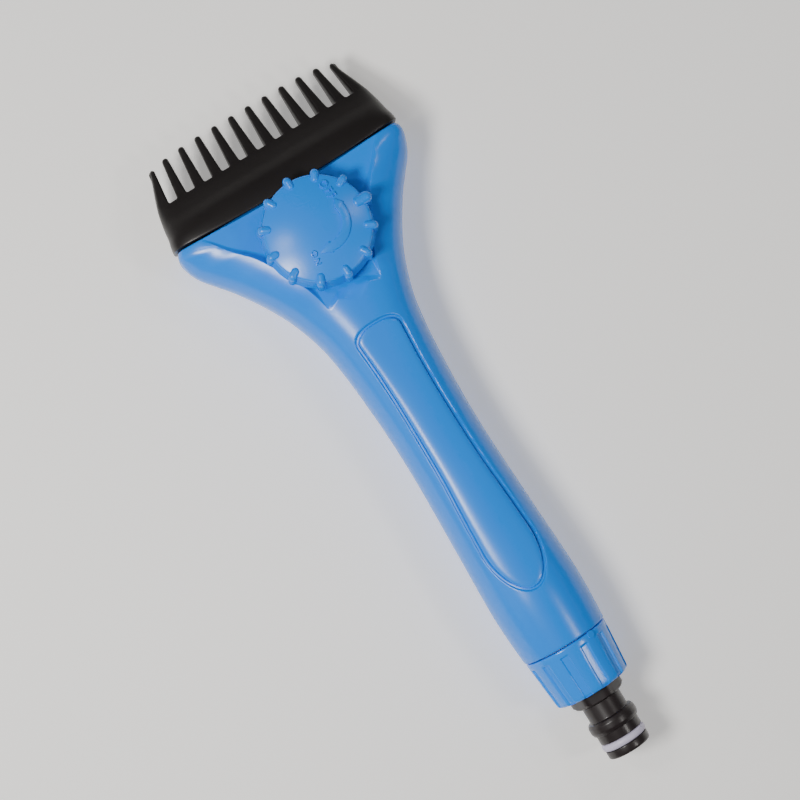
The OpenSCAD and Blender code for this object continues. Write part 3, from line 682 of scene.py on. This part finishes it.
# Grip panel: the outer slope goes on to a flat ledge, then comes a thin line and the pillow in the middle
def gripDrop(d):
    foot = grip["line"] + grip["lineWidth"]
    if d < grip["line"]:
        t = min(d / grip["ledge"], 1)
        return grip["lipDeep"] + (grip["ledgeDeep"] - grip["lipDeep"]) * math.sin(math.pi / 2 * t)
    if d < foot - 0.01:
        return grip["lineDeep"]
    t = min((d - foot) / grip["pillow"], 1)
    return grip["pillowDeep"] * (1 - math.sqrt(max(1 - (1 - t) ** 2, 0)))


# The pillow's middle is flatter across than the handle and sunk a little
def gripFlatten(x, d):
    share = smooth((d - grip["line"] - grip["lineWidth"]) / grip["flatSoft"])
    return share * (grip["flat"] * (x / grip["flatHalf"]) ** 2 - grip["sunk"])


def gripPanel(across=16):
    step = np.gradient(gripHalf, axis=0)
    normal = np.stack([step[:, 1], -step[:, 0]], 1)
    normal /= np.linalg.norm(normal, axis=1)[:, None]
    normal[0], normal[-1] = (0, -1), (0, 1)
    line, foot = grip["line"], grip["line"] + grip["lineWidth"]
    inward = [0, 0.08, 0.16, 0.3, 0.5, line - 0.03, line + 0.04, line + grip["lineWidth"] / 2, foot - 0.04]
    steps = (0, 0.01, 0.03, 0.07, 0.12, 0.2, 0.3, 0.42, 0.56, 0.75, 1.0)
    inward += [foot + grip["pillow"] * t for t in steps]
    rings = []
    for d in inward:
        ring = gripHalf - normal * d
        ring[:, 0] = np.maximum(ring[:, 0], 0)
        ring[0, 0] = ring[-1, 0] = 0
        full = np.concatenate([ring, np.stack([-ring[-2:0:-1, 0], ring[-2:0:-1, 1]], 1)])
        z = frontSurface(full[:, 0], full[:, 1]) - gripDrop(d) + gripFlatten(full[:, 0], d)
        rings.append(np.column_stack([full, z]))
    base = rings[0].copy()
    base[:, 2] = frontSurface(base[:, 0], base[:, 1]) - grip["thickness"]
    rings = [base] + rings
    n, m = len(gripHalf), len(base)
    points = [point for ring in rings for point in ring]
    faces = gridFaces(len(rings), m, wrap=True)
    last = (len(rings) - 1) * m
    inner = rings[-1]
    rows = [[last]]
    for i in range(1, n - 1):  # rows of points across the middle, between the two sides of the inner ring
        a, b = inner[i], inner[m - i]
        x = a[0] + (b[0] - a[0]) * np.arange(1, across) / across
        y = np.full(across - 1, a[1])
        z = frontSurface(x, y) + gripFlatten(x, inward[-1])
        rows.append([last + i] + list(range(len(points), len(points) + across - 1)) + [last + m - i])
        points += list(np.column_stack([x, y, z]))
    for r, s in zip(rows[1:-1], rows[2:]):
        faces += [(r[k], r[k + 1], s[k + 1], s[k]) for k in range(across)]
    faces += [(last, rows[1][k], rows[1][k + 1]) for k in range(across)]
    faces += [(last + n - 1, rows[-1][k], rows[-1][k + 1]) for k in range(across)]
    faces.append(list(range(m)))
    return solid("gripInlay", points, faces, "blueGrip", 50)


stand(gripPanel(), "handle", "grip_inlay")

# Comb
comb = {
    "teeth": 12, "rootPitch": 6.95, "tipPitch": 6.65, "gap": 3.4, "tip": 2.3, "rootAt": 36.2, "tipAt": 52.2,
    "tipDrop": 2.2, "dropPower": 4.2, "fillet": 0.8, "square": 5.0, "spray": 0.7,
    "rearAt": 19.0, "rearEdge": 0.45, "seamGap": 0.7, "bowEnd": 20.0, "bowOver": 7.0,
    # the end teeth: how far their tips lie inwards, and where the comb's side turns into the tip
    "endTip": 0.6, "endFrom": 0.55, "endOver": 0.5, "endLeast": 0.2,
    # rounding of a tooth's long edges, small at the root and full a little further on
    "rootSoft": 0.15, "moreSoft": 0.75, "softOver": 3.0, "tipSoft": 0.8, "tipThin": 0.55,
    # in the head's frame: distance from the valve's centre, half width, half thickness
    "rows": [(12.7, 43.9, 13.7), (19.7, 43.9, 13.7), (25.7, 43.1, 12.2), (31.2, 42.3, 8.9), (36.2, 41.2, 6.3),
             (40.2, 39.9, 5.1), (44.2, 38.4, 4.0), (48.2, 36.9, 3.0), (53.2, 34.7, 2.2)],
}


def combHeight(x, y):
    w, h = along(comb["rows"], 1, y), along(comb["rows"], 2, y)
    n = comb["square"]
    return h * np.maximum(1 - np.minimum(np.abs(x) / w, 1) ** n, 0) ** (1 / n)


def combBody(cols=120):
    ys = np.array([comb["rearAt"] + e for e in (0, 0.08, 0.22, comb["rearEdge"])]
                  + list(np.linspace(comb["bowEnd"], comb["rootAt"], 30)))
    power = 2 / comb["square"]
    points = []
    for y in ys:
        w, h = float(along(comb["rows"], 1, y)), float(along(comb["rows"], 2, y))
        inset = float(roundEdge(y - ys[0], comb["rearEdge"]))
        for a in np.linspace(0, 2 * math.pi, cols + 1)[:-1]:
            c, s = math.cos(a), math.sin(a)
            points.append(((w - inset) * math.copysign(abs(c) ** power, c), y,
                           (h - inset) * math.copysign(abs(s) ** power, s)))
    points = np.array(points)
    # the rear rings follow the bowed seam, seen in the part's frame
    flat = fromHead(points)
    for i, y in enumerate(ys):
        part = slice(i * cols, (i + 1) * cols)
        share = 1 - smooth((y - comb["bowEnd"]) / comb["bowOver"])
        target = shell["seamY"] + seamBow(points[part, 0]) + comb["seamGap"] + (y - ys[0])
        flat[part, 1] = flat[part, 1] * (1 - share) + target * share
    faces = gridFaces(len(ys), cols, wrap=True) + endFaces(len(ys), cols)
    body = solid("combBody", flat, faces, "blackPlastic")
    drill = placed(cylinder("sprayHole", comb["spray"], -4, 3, "blackPlastic", 24), angle=-90)
    count = comb["teeth"] - 1
    holes = copies(drill, count, start=(-comb["rootPitch"] * (count - 1) / 2, comb["rootAt"], 0),
                   step=(comb["rootPitch"], 0, 0))
    cut(body, toHead(holes))
    return body


# One tooth as a stack of rings, k teeth away from the middle of the comb
def combTooth(k):
    last = (comb["teeth"] - 1) / 2
    isEnd = abs(abs(k) - last) < 0.1
    rootX, tipX = comb["rootPitch"] * k, comb["tipPitch"] * k
    if isEnd:
        tipX -= math.copysign(comb["endTip"], k)
    r, root, fillet = comb["tip"] / 2, comb["rootAt"], comb["fillet"]
    half = (comb["rootPitch"] - comb["gap"]) / 2
    tipY = comb["tipAt"] - comb["tipDrop"] * (abs(k) / last) ** comb["dropPower"]
    ys = [root] + [root + fillet * (1 - math.cos(a)) for a in np.linspace(0, math.pi / 2, 8)[1:]]
    ys += list(np.linspace(root + fillet + 0.8, tipY - r, 16))
    ys += [tipY - r + r * math.sin(a) for a in np.linspace(0, math.pi / 2, 9)[1:]]
    points = []
    for y in ys:
        e = y - root
        t = e / (tipY - r - root)
        end = 1 - math.sqrt(max(1 - ((y - tipY + r) / r) ** 2, 0)) if y > tipY - r else 0.0
        centre = rootX + (tipX - rootX) * t
        left = half + (r - half) * min(max(t, 0), 1) + float(roundEdge(e, fillet))
        left *= 1 - end
        right = left
        reach = float(along(comb["rows"], 1, y))
        if isEnd:
            blend = smooth((t - comb["endFrom"]) / comb["endOver"])
            side = ((reach - abs(centre)) * (1 - blend) + r * blend) * (1 - end)
            side = max(side, left * comb["endLeast"])
            left, right = (left, side) if k > 0 else (side, right)
        xs = centre - left + (left + right) * np.linspace(0, 1, 15)
        top = combHeight(np.clip(xs, -reach, reach), np.full(len(xs), y)) * (1 - comb["tipThin"] * end)
        soft = comb["rootSoft"] + comb["moreSoft"] * smooth(e / comb["softOver"])
        soft = min(soft * (1 - comb["tipSoft"] * end), (left + right) / 2.2) + 1e-6
        away = np.minimum(xs - (centre - left), (centre + right) - xs)
        z = np.maximum(top - roundEdge(away, soft), 0.02)
        points += [(x, y, v) for x, v in zip(xs, z)] + [(x, y, -v) for x, v in zip(xs[::-1], z[::-1])]
    count = len(points) // len(ys)
    faces = gridFaces(len(ys), count, wrap=True) + endFaces(len(ys), count)
    return solid("tooth", fromHead(points), faces, "blackPlastic", 50)


lastTooth = (comb["teeth"] - 1) / 2
combHead = joined("combHead", [combBody()] + [combTooth(k) for k in np.arange(-lastTooth, lastTooth + 1)])
stand(combHead, "handle", "comb_head")

# Knob
knob = {
    "rim": 18.05, "foot": 19.0, "low": 15.9, "peak": 26.2, "crown": 3.2, "crownAt": 18.3,
    "soft": 0.9, "drop": 0.9, "wall": 2.0, "under": 21.1, "hub": 5.0, "hubLow": 14.0,
    "socket": 3.05, "socketTop": 20.3, "turn": 1.8,
    # half width, inner end, outer end and height of a nub, and of the larger one that points
    "nubs": 12, "nub": (1.45, 14.9, 19.9, 24.5), "pointer": (2.05, 13.9, 20.9, 24.8),
    "bend": 2.0, "end": 1.3, "endDip": 1.2,
}


def knobTop(r):
    return knob["peak"] - knob["crown"] * (np.asarray(r, float) / knob["crownAt"]) ** 2


def knobDisc(turns=144):
    rim, foot, low, under = knob["rim"], knob["foot"], knob["low"], knob["under"]
    hub, socket, wall = knob["hub"], knob["socket"], knob["wall"]
    start = rim - knob["soft"]
    outline = [(r, float(knobTop(r))) for r in np.linspace(0, start, 14)[1:]]
    z0 = float(knobTop(start))
    z1 = z0 - knob["drop"]
    corner = z0 - 2 * knob["crown"] * start / knob["crownAt"] ** 2 * knob["soft"]
    for t in np.linspace(0, 1, 11)[1:]:
        outline.append(((1 - t) ** 2 * start + (2 * t * (1 - t) + t * t) * rim,
                        (1 - t) ** 2 * z0 + 2 * t * (1 - t) * corner + t * t * z1))
    outline += [(rim + (foot - rim) * t, z1 * (1 - t) + (low + 0.3) * t) for t in (0.3, 0.6, 1.0)]
    outline += [(foot - 0.3, low), (foot - wall, low), (rim - wall, under - 0.9), (rim - wall - 1, under),
                (hub + 0.2, under), (hub, under - 0.2), (hub, knob["hubLow"]), (socket, knob["hubLow"]),
                (socket, knob["socketTop"])]
    points = [(0, 0, float(knobTop(0)))] + ringsAboutZ(outline, turns)
    faces = [(0, 1 + k, 1 + (k + 1) % turns) for k in range(turns)]
    faces += gridFaces(len(outline), turns, wrap=True, start=1)
    faces.append([1 + (len(outline) - 1) * turns + k for k in range(turns)])
    return solid("knobDisc", points, faces, "blueKnob", 40)


# One nub is a straight level rod with a round inner end, that bends over the rim and runs down the wall
def knobNub(half, begin, reach, crest, across=24):
    bend, end, low = knob["bend"], knob["end"], knob["low"]
    path = [(begin + end * (1 - math.cos(a)), crest - knob["endDip"] * (1 - math.sin(a)))
            for a in np.linspace(0.15, math.pi / 2, 9)]
    path += [(r, crest) for r in np.linspace(begin + end, reach - bend, 8)[1:]]
    path += [(reach - bend + bend * math.sin(a), crest - bend * (1 - math.cos(a)))
             for a in np.linspace(0, math.pi / 2, 12)[1:]]
    path += [(reach, z) for z in np.linspace(crest - bend, low + 0.5, 5)[1:]] + [(reach - 0.3, low + 0.2)]
    points = []
    for i, place in enumerate(path):
        way = np.array(path[min(i + 1, len(path) - 1)], float) - np.array(path[max(i - 1, 0)], float)
        way /= np.linalg.norm(way)
        normal = np.array([-way[1], way[0]])
        for k in range(across):
            u = 2 * math.pi * k / across
            p = np.array(place) + normal * (math.sin(u) - 1) * half
            points.append((p[0], half * math.cos(u), p[1]))
    faces = gridFaces(len(path), across, wrap=True) + endFaces(len(path), across)
    return solid("nub", points, faces, "blueKnob", 60)


# Words and arrow on the knob: how far they stand up and reach in, and their soft edge
marks = {
    "relief": 0.45, "sunk": 0.25, "bevel": 0.08, "shrink": 0.03, "capShare": 0.69,
    # text, height, centre, angle, spread of the letters, share of their width
    "words": [("OFF", 2.75, (9.15, 9.2), -86, 1.2, 0.9), ("ON", 2.0, (-6.1, -8.6), -97, 1.36, 1.0)],
}
arrow = {"centre": (1.2, 0.45), "radius": 8.65, "half": 1.4, "start": 12.0, "end": -97.0, "headHalf": 1.8,
         "startTip": (-0.1, 2.65), "endTip": (-3.9, 0.05)}


# A flat curve as a raised mesh that stands on z = 0
def raised(curve):
    curve.extrude = (marks["sunk"] + marks["relief"]) / 2 * mm
    curve.offset = -marks["shrink"] * mm
    curve.bevel_depth = marks["bevel"] * mm
    curve.bevel_resolution = 1
    holder = added(curve.name, curve)
    graph = bpy.context.evaluated_depsgraph_get()
    mesh = bpy.data.meshes.new_from_object(holder.evaluated_get(graph), depsgraph=graph)
    bpy.data.objects.remove(holder)
    for v in mesh.vertices:
        v.co.z += (marks["sunk"] + marks["relief"]) / 2 * mm
    return mesh


# Lays a raised mesh on the crowned top
def onKnob(name, mesh, centre, angle):
    c, s = math.cos(angle), math.sin(angle)
    for v in mesh.vertices:
        x, y, z = v.co / mm
        px, py = centre[0] + c * x - s * y, centre[1] + s * x + c * y
        v.co = Vector((px, py, float(knobTop(math.hypot(px, py))) - marks["sunk"] + z)) * mm
    made = added(name, mesh)
    mesh.materials.clear()
    mesh.materials.append(looks["blueKnob"])
    tidy(made, 60)
    return made


def knobWord(text, height, centre, angle, spread, narrow):
    curve = bpy.data.curves.new(text, "FONT")
    curve.body = text
    curve.size = height / marks["capShare"] * mm
    curve.space_character = spread
    curve.align_x = curve.align_y = "CENTER"
    mesh = raised(curve)
    for v in mesh.vertices:
        v.co.x *= narrow
    return onKnob("word" + text.title(), mesh, centre, math.radians(angle))


# The curved arrow with a point at each end, as one outline
def knobArrow():
    start, end = math.radians(arrow["start"]), math.radians(arrow["end"])

    def at(r, a):
        return np.array(arrow["centre"]) + r * np.array([math.cos(a), math.sin(a)])

    def tip(a, point):
        outside, inside = arrow["radius"] + arrow["headHalf"], arrow["radius"] - arrow["headHalf"]
        return [at(outside, a), at(arrow["radius"], a) + np.array(point), at(inside, a)]

    turns = np.linspace(end, start, 36)
    outline = [at(arrow["radius"] + arrow["half"], a) for a in turns] + tip(start, arrow["startTip"])
    outline += [at(arrow["radius"] - arrow["half"], a) for a in turns[::-1]] + tip(end, arrow["endTip"])[::-1]
    curve = bpy.data.curves.new("arrow", "CURVE")
    curve.dimensions = "2D"
    curve.fill_mode = "BOTH"
    line = curve.splines.new("POLY")
    line.points.add(len(outline) - 1)
    for point, place in zip(line.points, outline):
        point.co = (place[0] * mm, place[1] * mm, 0, 1)
    line.use_cyclic_u = True
    return onKnob("arrow", raised(curve), (0, 0), 0.0)


nubs = copies(knobNub(*knob["nub"]), knob["nubs"] - 1, turn=2 * math.pi / knob["nubs"], first=1, sharp=60)
pointer = knobNub(*knob["pointer"])
ring = [placed(part, angle=knob["turn"], axis="Z") for part in (nubs, pointer)]
knobPieces = [knobDisc()] + ring + [knobArrow()] + [knobWord(*row) for row in marks["words"]]
stand(toHead(joined("knobWhole", knobPieces)), "valve", "knob")

# Union nut with its flutes and a small half-round mark on the upper edge
nut = {
    "low": 24.0, "high": 42.4, "lowR": 13.75, "highR": 15.35, "lip": 10.1, "lipTop": 27.0,
    "pocket": 11.7, "pocketTop": 30.2, "thread": 12.9, "threadLow": 31.4,
    "flutes": 12, "fluteHalf": 1.5, "fluteDeep": 0.6, "fluteTop": 40.1, "fluteSoft": 0.5, "first": 13.5,
    "markAt": 29, "markR": 1.3, "markY": 41.4, "markFrom": 14.7, "markTo": 15.55,
}


def nutSkin(r, y, a):
    if r < nut["thread"] + 0.1 or y > nut["high"] - 0.3:
        return r
    turn = 2 * math.pi / nut["flutes"]
    away = (a - math.radians(nut["first"]) + turn / 2) % turn - turn / 2
    shape = 1 - smooth((abs(away) * r - nut["fluteHalf"] + 0.35) / nut["fluteSoft"])
    up = smooth((nut["fluteTop"] - y) / nut["fluteSoft"])
    return r - nut["fluteDeep"] * float(shape) * float(up)


def nutTurned():
    def slope(y):
        return nut["lowR"] + (nut["highR"] - nut["lowR"]) * (y - nut["low"]) / (nut["high"] - nut["low"])

    # the points on the slope lie closer where the flutes end
    profile = [(nut["lip"], nut["low"], 0.3), (nut["lowR"], nut["low"], 2.4)]
    profile += [(slope(y), y) for y in list(np.linspace(26.6, 39.1, 9)) + list(np.linspace(39.4, 40.7, 8))]
    profile += [(nut["highR"], nut["high"], 0.7), (nut["thread"], nut["high"], 0.3),
                (nut["thread"], nut["threadLow"]), (nut["pocket"], nut["pocketTop"]),
                (nut["pocket"], nut["lipTop"]), (nut["lip"], nut["lipTop"])]
    return lathe("nutTurned", profile, "blueNut", turns=288, sharp=40, wave=nutSkin)


nutWhole = nutTurned()
nutMark = cylinder("nutMark", nut["markR"], nut["markFrom"], nut["markTo"], "blueNut", 32)
placed(nutMark, (0, nut["markY"], 0), nut["markAt"], "Y")
stand(joined("couplingNut", [nutWhole, nutMark]), "nut", "coupling_nut")

# Hose spigot and its sealing ring
spigot = {
    "bore": 4.6, "land": 7.85, "groove": 5.7, "grooveLow": 3.0, "grooveHigh": 5.9, "landHigh": 9.1,
    "lock": 8.85, "stalk": 7.15, "stalkLow": 13.8, "flange": 11.4, "flangeLow": 27.1, "top": 30.1,
    # corners of the lock ring: how far past its radius, distance, rounding
    "lockCorners": [(-0.45, 9.35, 0.3), (0, 10.5, 0.7), (0, 12.4, 0.7), (-0.55, 13.6, 0.4)],
    # the six-sided seat for a wrench: corner radius, turn, and how far its corners are blunted,
    # then distance of each ring and how far its cone lies past the corner radius
    "seat": 9.8, "seatTurn": 21, "seatBlunt": 0.12,
    "seatRings": [(19.6, -2.1), (19.8, -1.5), (20.2, -0.9), (21.0, 0.4), (27.2, 0.4)],
    # the ring's middle radius, place, half depth, half width and squareness
    "ring": 7.0, "ringY": 4.45, "ringDeep": 1.3, "ringWide": 1.38, "ringPower": 0.8,
}


def spigotTurned():
    bore, land, low, high = spigot["bore"], spigot["land"], spigot["grooveLow"], spigot["grooveHigh"]
    profile = [(bore, 0, 0.5), (land, 0, 1.0), (land, low, 0.25), (spigot["groove"], low),
               (spigot["groove"], high), (land, high, 0.25), (land, spigot["landHigh"], 0.1)]
    profile += [(spigot["lock"] + out, y, soft) for out, y, soft in spigot["lockCorners"]]
    profile += [(spigot["stalk"], spigot["stalkLow"], 0.3), (spigot["stalk"], spigot["flangeLow"]),
                (spigot["flange"], spigot["flangeLow"], 0.3), (spigot["flange"], spigot["top"], 0.3),
                (bore, spigot["top"], 0.3)]
    return lathe("spigotTurned", profile, "blackSpigot")


def wrenchSeat(count=96):
    points, seat = [], spigot["seat"]
    for y, cone in spigot["seatRings"]:
        for k in range(count):
            a = 2 * math.pi * k / count
            local = (a - math.radians(spigot["seatTurn"])) % (math.pi / 3) - math.pi / 6
            flat = seat * math.cos(math.pi / 6) / math.cos(local)
            r = min(flat, seat + cone, seat - spigot["seatBlunt"])
            points.append((r * math.sin(a), y, r * math.cos(a)))
    rows = len(spigot["seatRings"])
    faces = gridFaces(rows, count, wrap=True) + endFaces(rows, count)
    return solid("wrenchSeat", points, faces, "blackSpigot", 25)


def sealRing():
    profile = []
    for a in np.linspace(0, 2 * math.pi, 29)[:-1]:
        across = math.copysign(abs(math.sin(a)) ** spigot["ringPower"], math.sin(a))
        radius = spigot["ring"] + spigot["ringDeep"] * math.cos(a)
        profile.append((radius, spigot["ringY"] + spigot["ringWide"] * across))
    return lathe("sealRing", profile, "greyRing", sharp=80)


stand(joined("hoseSpigot", [spigotTurned(), wrenchSeat()]), "spigot", "hose_spigot")
stand(sealRing(), "spigot", "spigot_o_ring")

# Neck with its thread
neck = {
    "bore": 4.6, "low": 32.0, "collar": 11.6, "collarTop": 41.9, "waist": 11.4, "waistTop": 45.4,
    "flange": 12.9, "flangeTop": 48.0,
    "socketOut": 8.6, "socketIn": 6.5, "socketTop": 61.0,
    "thread": 12.6, "threadLow": 32.6, "threadHigh": 40.6, "pitch": 2.0, "rootHalf": 0.75, "crestHalf": 0.3,
}


def neckTurned():
    bore, collar, waist = neck["bore"], neck["collar"], neck["waist"]
    top, end = neck["flangeTop"], neck["socketTop"]
    profile = [
        (bore, neck["low"], 0.3), (collar, neck["low"], 0.4), (collar, neck["collarTop"] - 0.1, 0.1),
        (waist, neck["collarTop"]), (waist, neck["waistTop"]), (neck["flange"], neck["waistTop"], 0.2),
        (neck["flange"], top, 0.2),
        (neck["socketOut"], top), (neck["socketOut"], end, 0.2), (neck["socketIn"], end, 0.2),
        (neck["socketIn"], top), (bore, top, 0.2)]
    return lathe("neckTurned", profile, "whitePlastic", turns=72)


# The thread climbs as a helix and fades in and out over the first and last steps
def neckThread(steps=48, fade=14):
    total = int(steps * (neck["threadHigh"] - neck["threadLow"]) / neck["pitch"])
    root = neck["waist"] + 0.1
    points = []
    for k in range(total + 1):
        a = 2 * math.pi * k / steps
        y = neck["threadLow"] + neck["pitch"] * k / steps
        crest = root + (neck["thread"] - root) * float(smooth(min(k, total - k) / fade))
        for r, dy in ((root, -neck["rootHalf"]), (crest, -neck["crestHalf"]), (crest, neck["crestHalf"]),
                      (root, neck["rootHalf"])):
            points.append((r * math.sin(-a), y + dy, r * math.cos(-a)))
    faces = gridFaces(total + 1, 4, wrap=True) + endFaces(total + 1, 4)
    return solid("neckThread", points, faces, "whitePlastic", 35)


stand(joined("threadedNeck", [neckTurned(), neckThread()]), "handle", "threaded_neck")


# Screw with a cross recess
def screw(turns=32):
    outline = screws["outline"]
    points = [(0, 0, outline[0][1]), (0, 0, outline[-1][1])] + ringsAboutZ(outline[1:-1], turns)
    faces = gridFaces(len(outline) - 2, turns, wrap=True, start=2)
    last = 2 + (len(outline) - 3) * turns
    for pole, base in ((0, 2), (1, last)):
        faces += [(pole, base + k, base + (k + 1) % turns) for k in range(turns)]
    made = solid("screw", points, faces, "steel", 30)
    half, reach, heights = screws["slotHalf"], screws["slotReach"], (screws["slotMouth"], screws["slotFloor"])
    for x, y in ((half, reach), (reach, half)):
        slotPoints = [(sx * x, sy * y, z) for z in heights for sx, sy in ((-1, -1), (1, -1), (1, 1), (-1, 1))]
        cut(made, solid("slot", slotPoints, gridFaces(2, 4, wrap=True) + endFaces(2, 4), "steel"), 30)
    return made


pairs = [copies(screw(), 2, start=(-x, y, 0), step=(2 * x, 0, 0), sharp=30) for x, y in screws["spots"]]
stand(joined("shellScrews", pairs), "handle", "shell_screws")
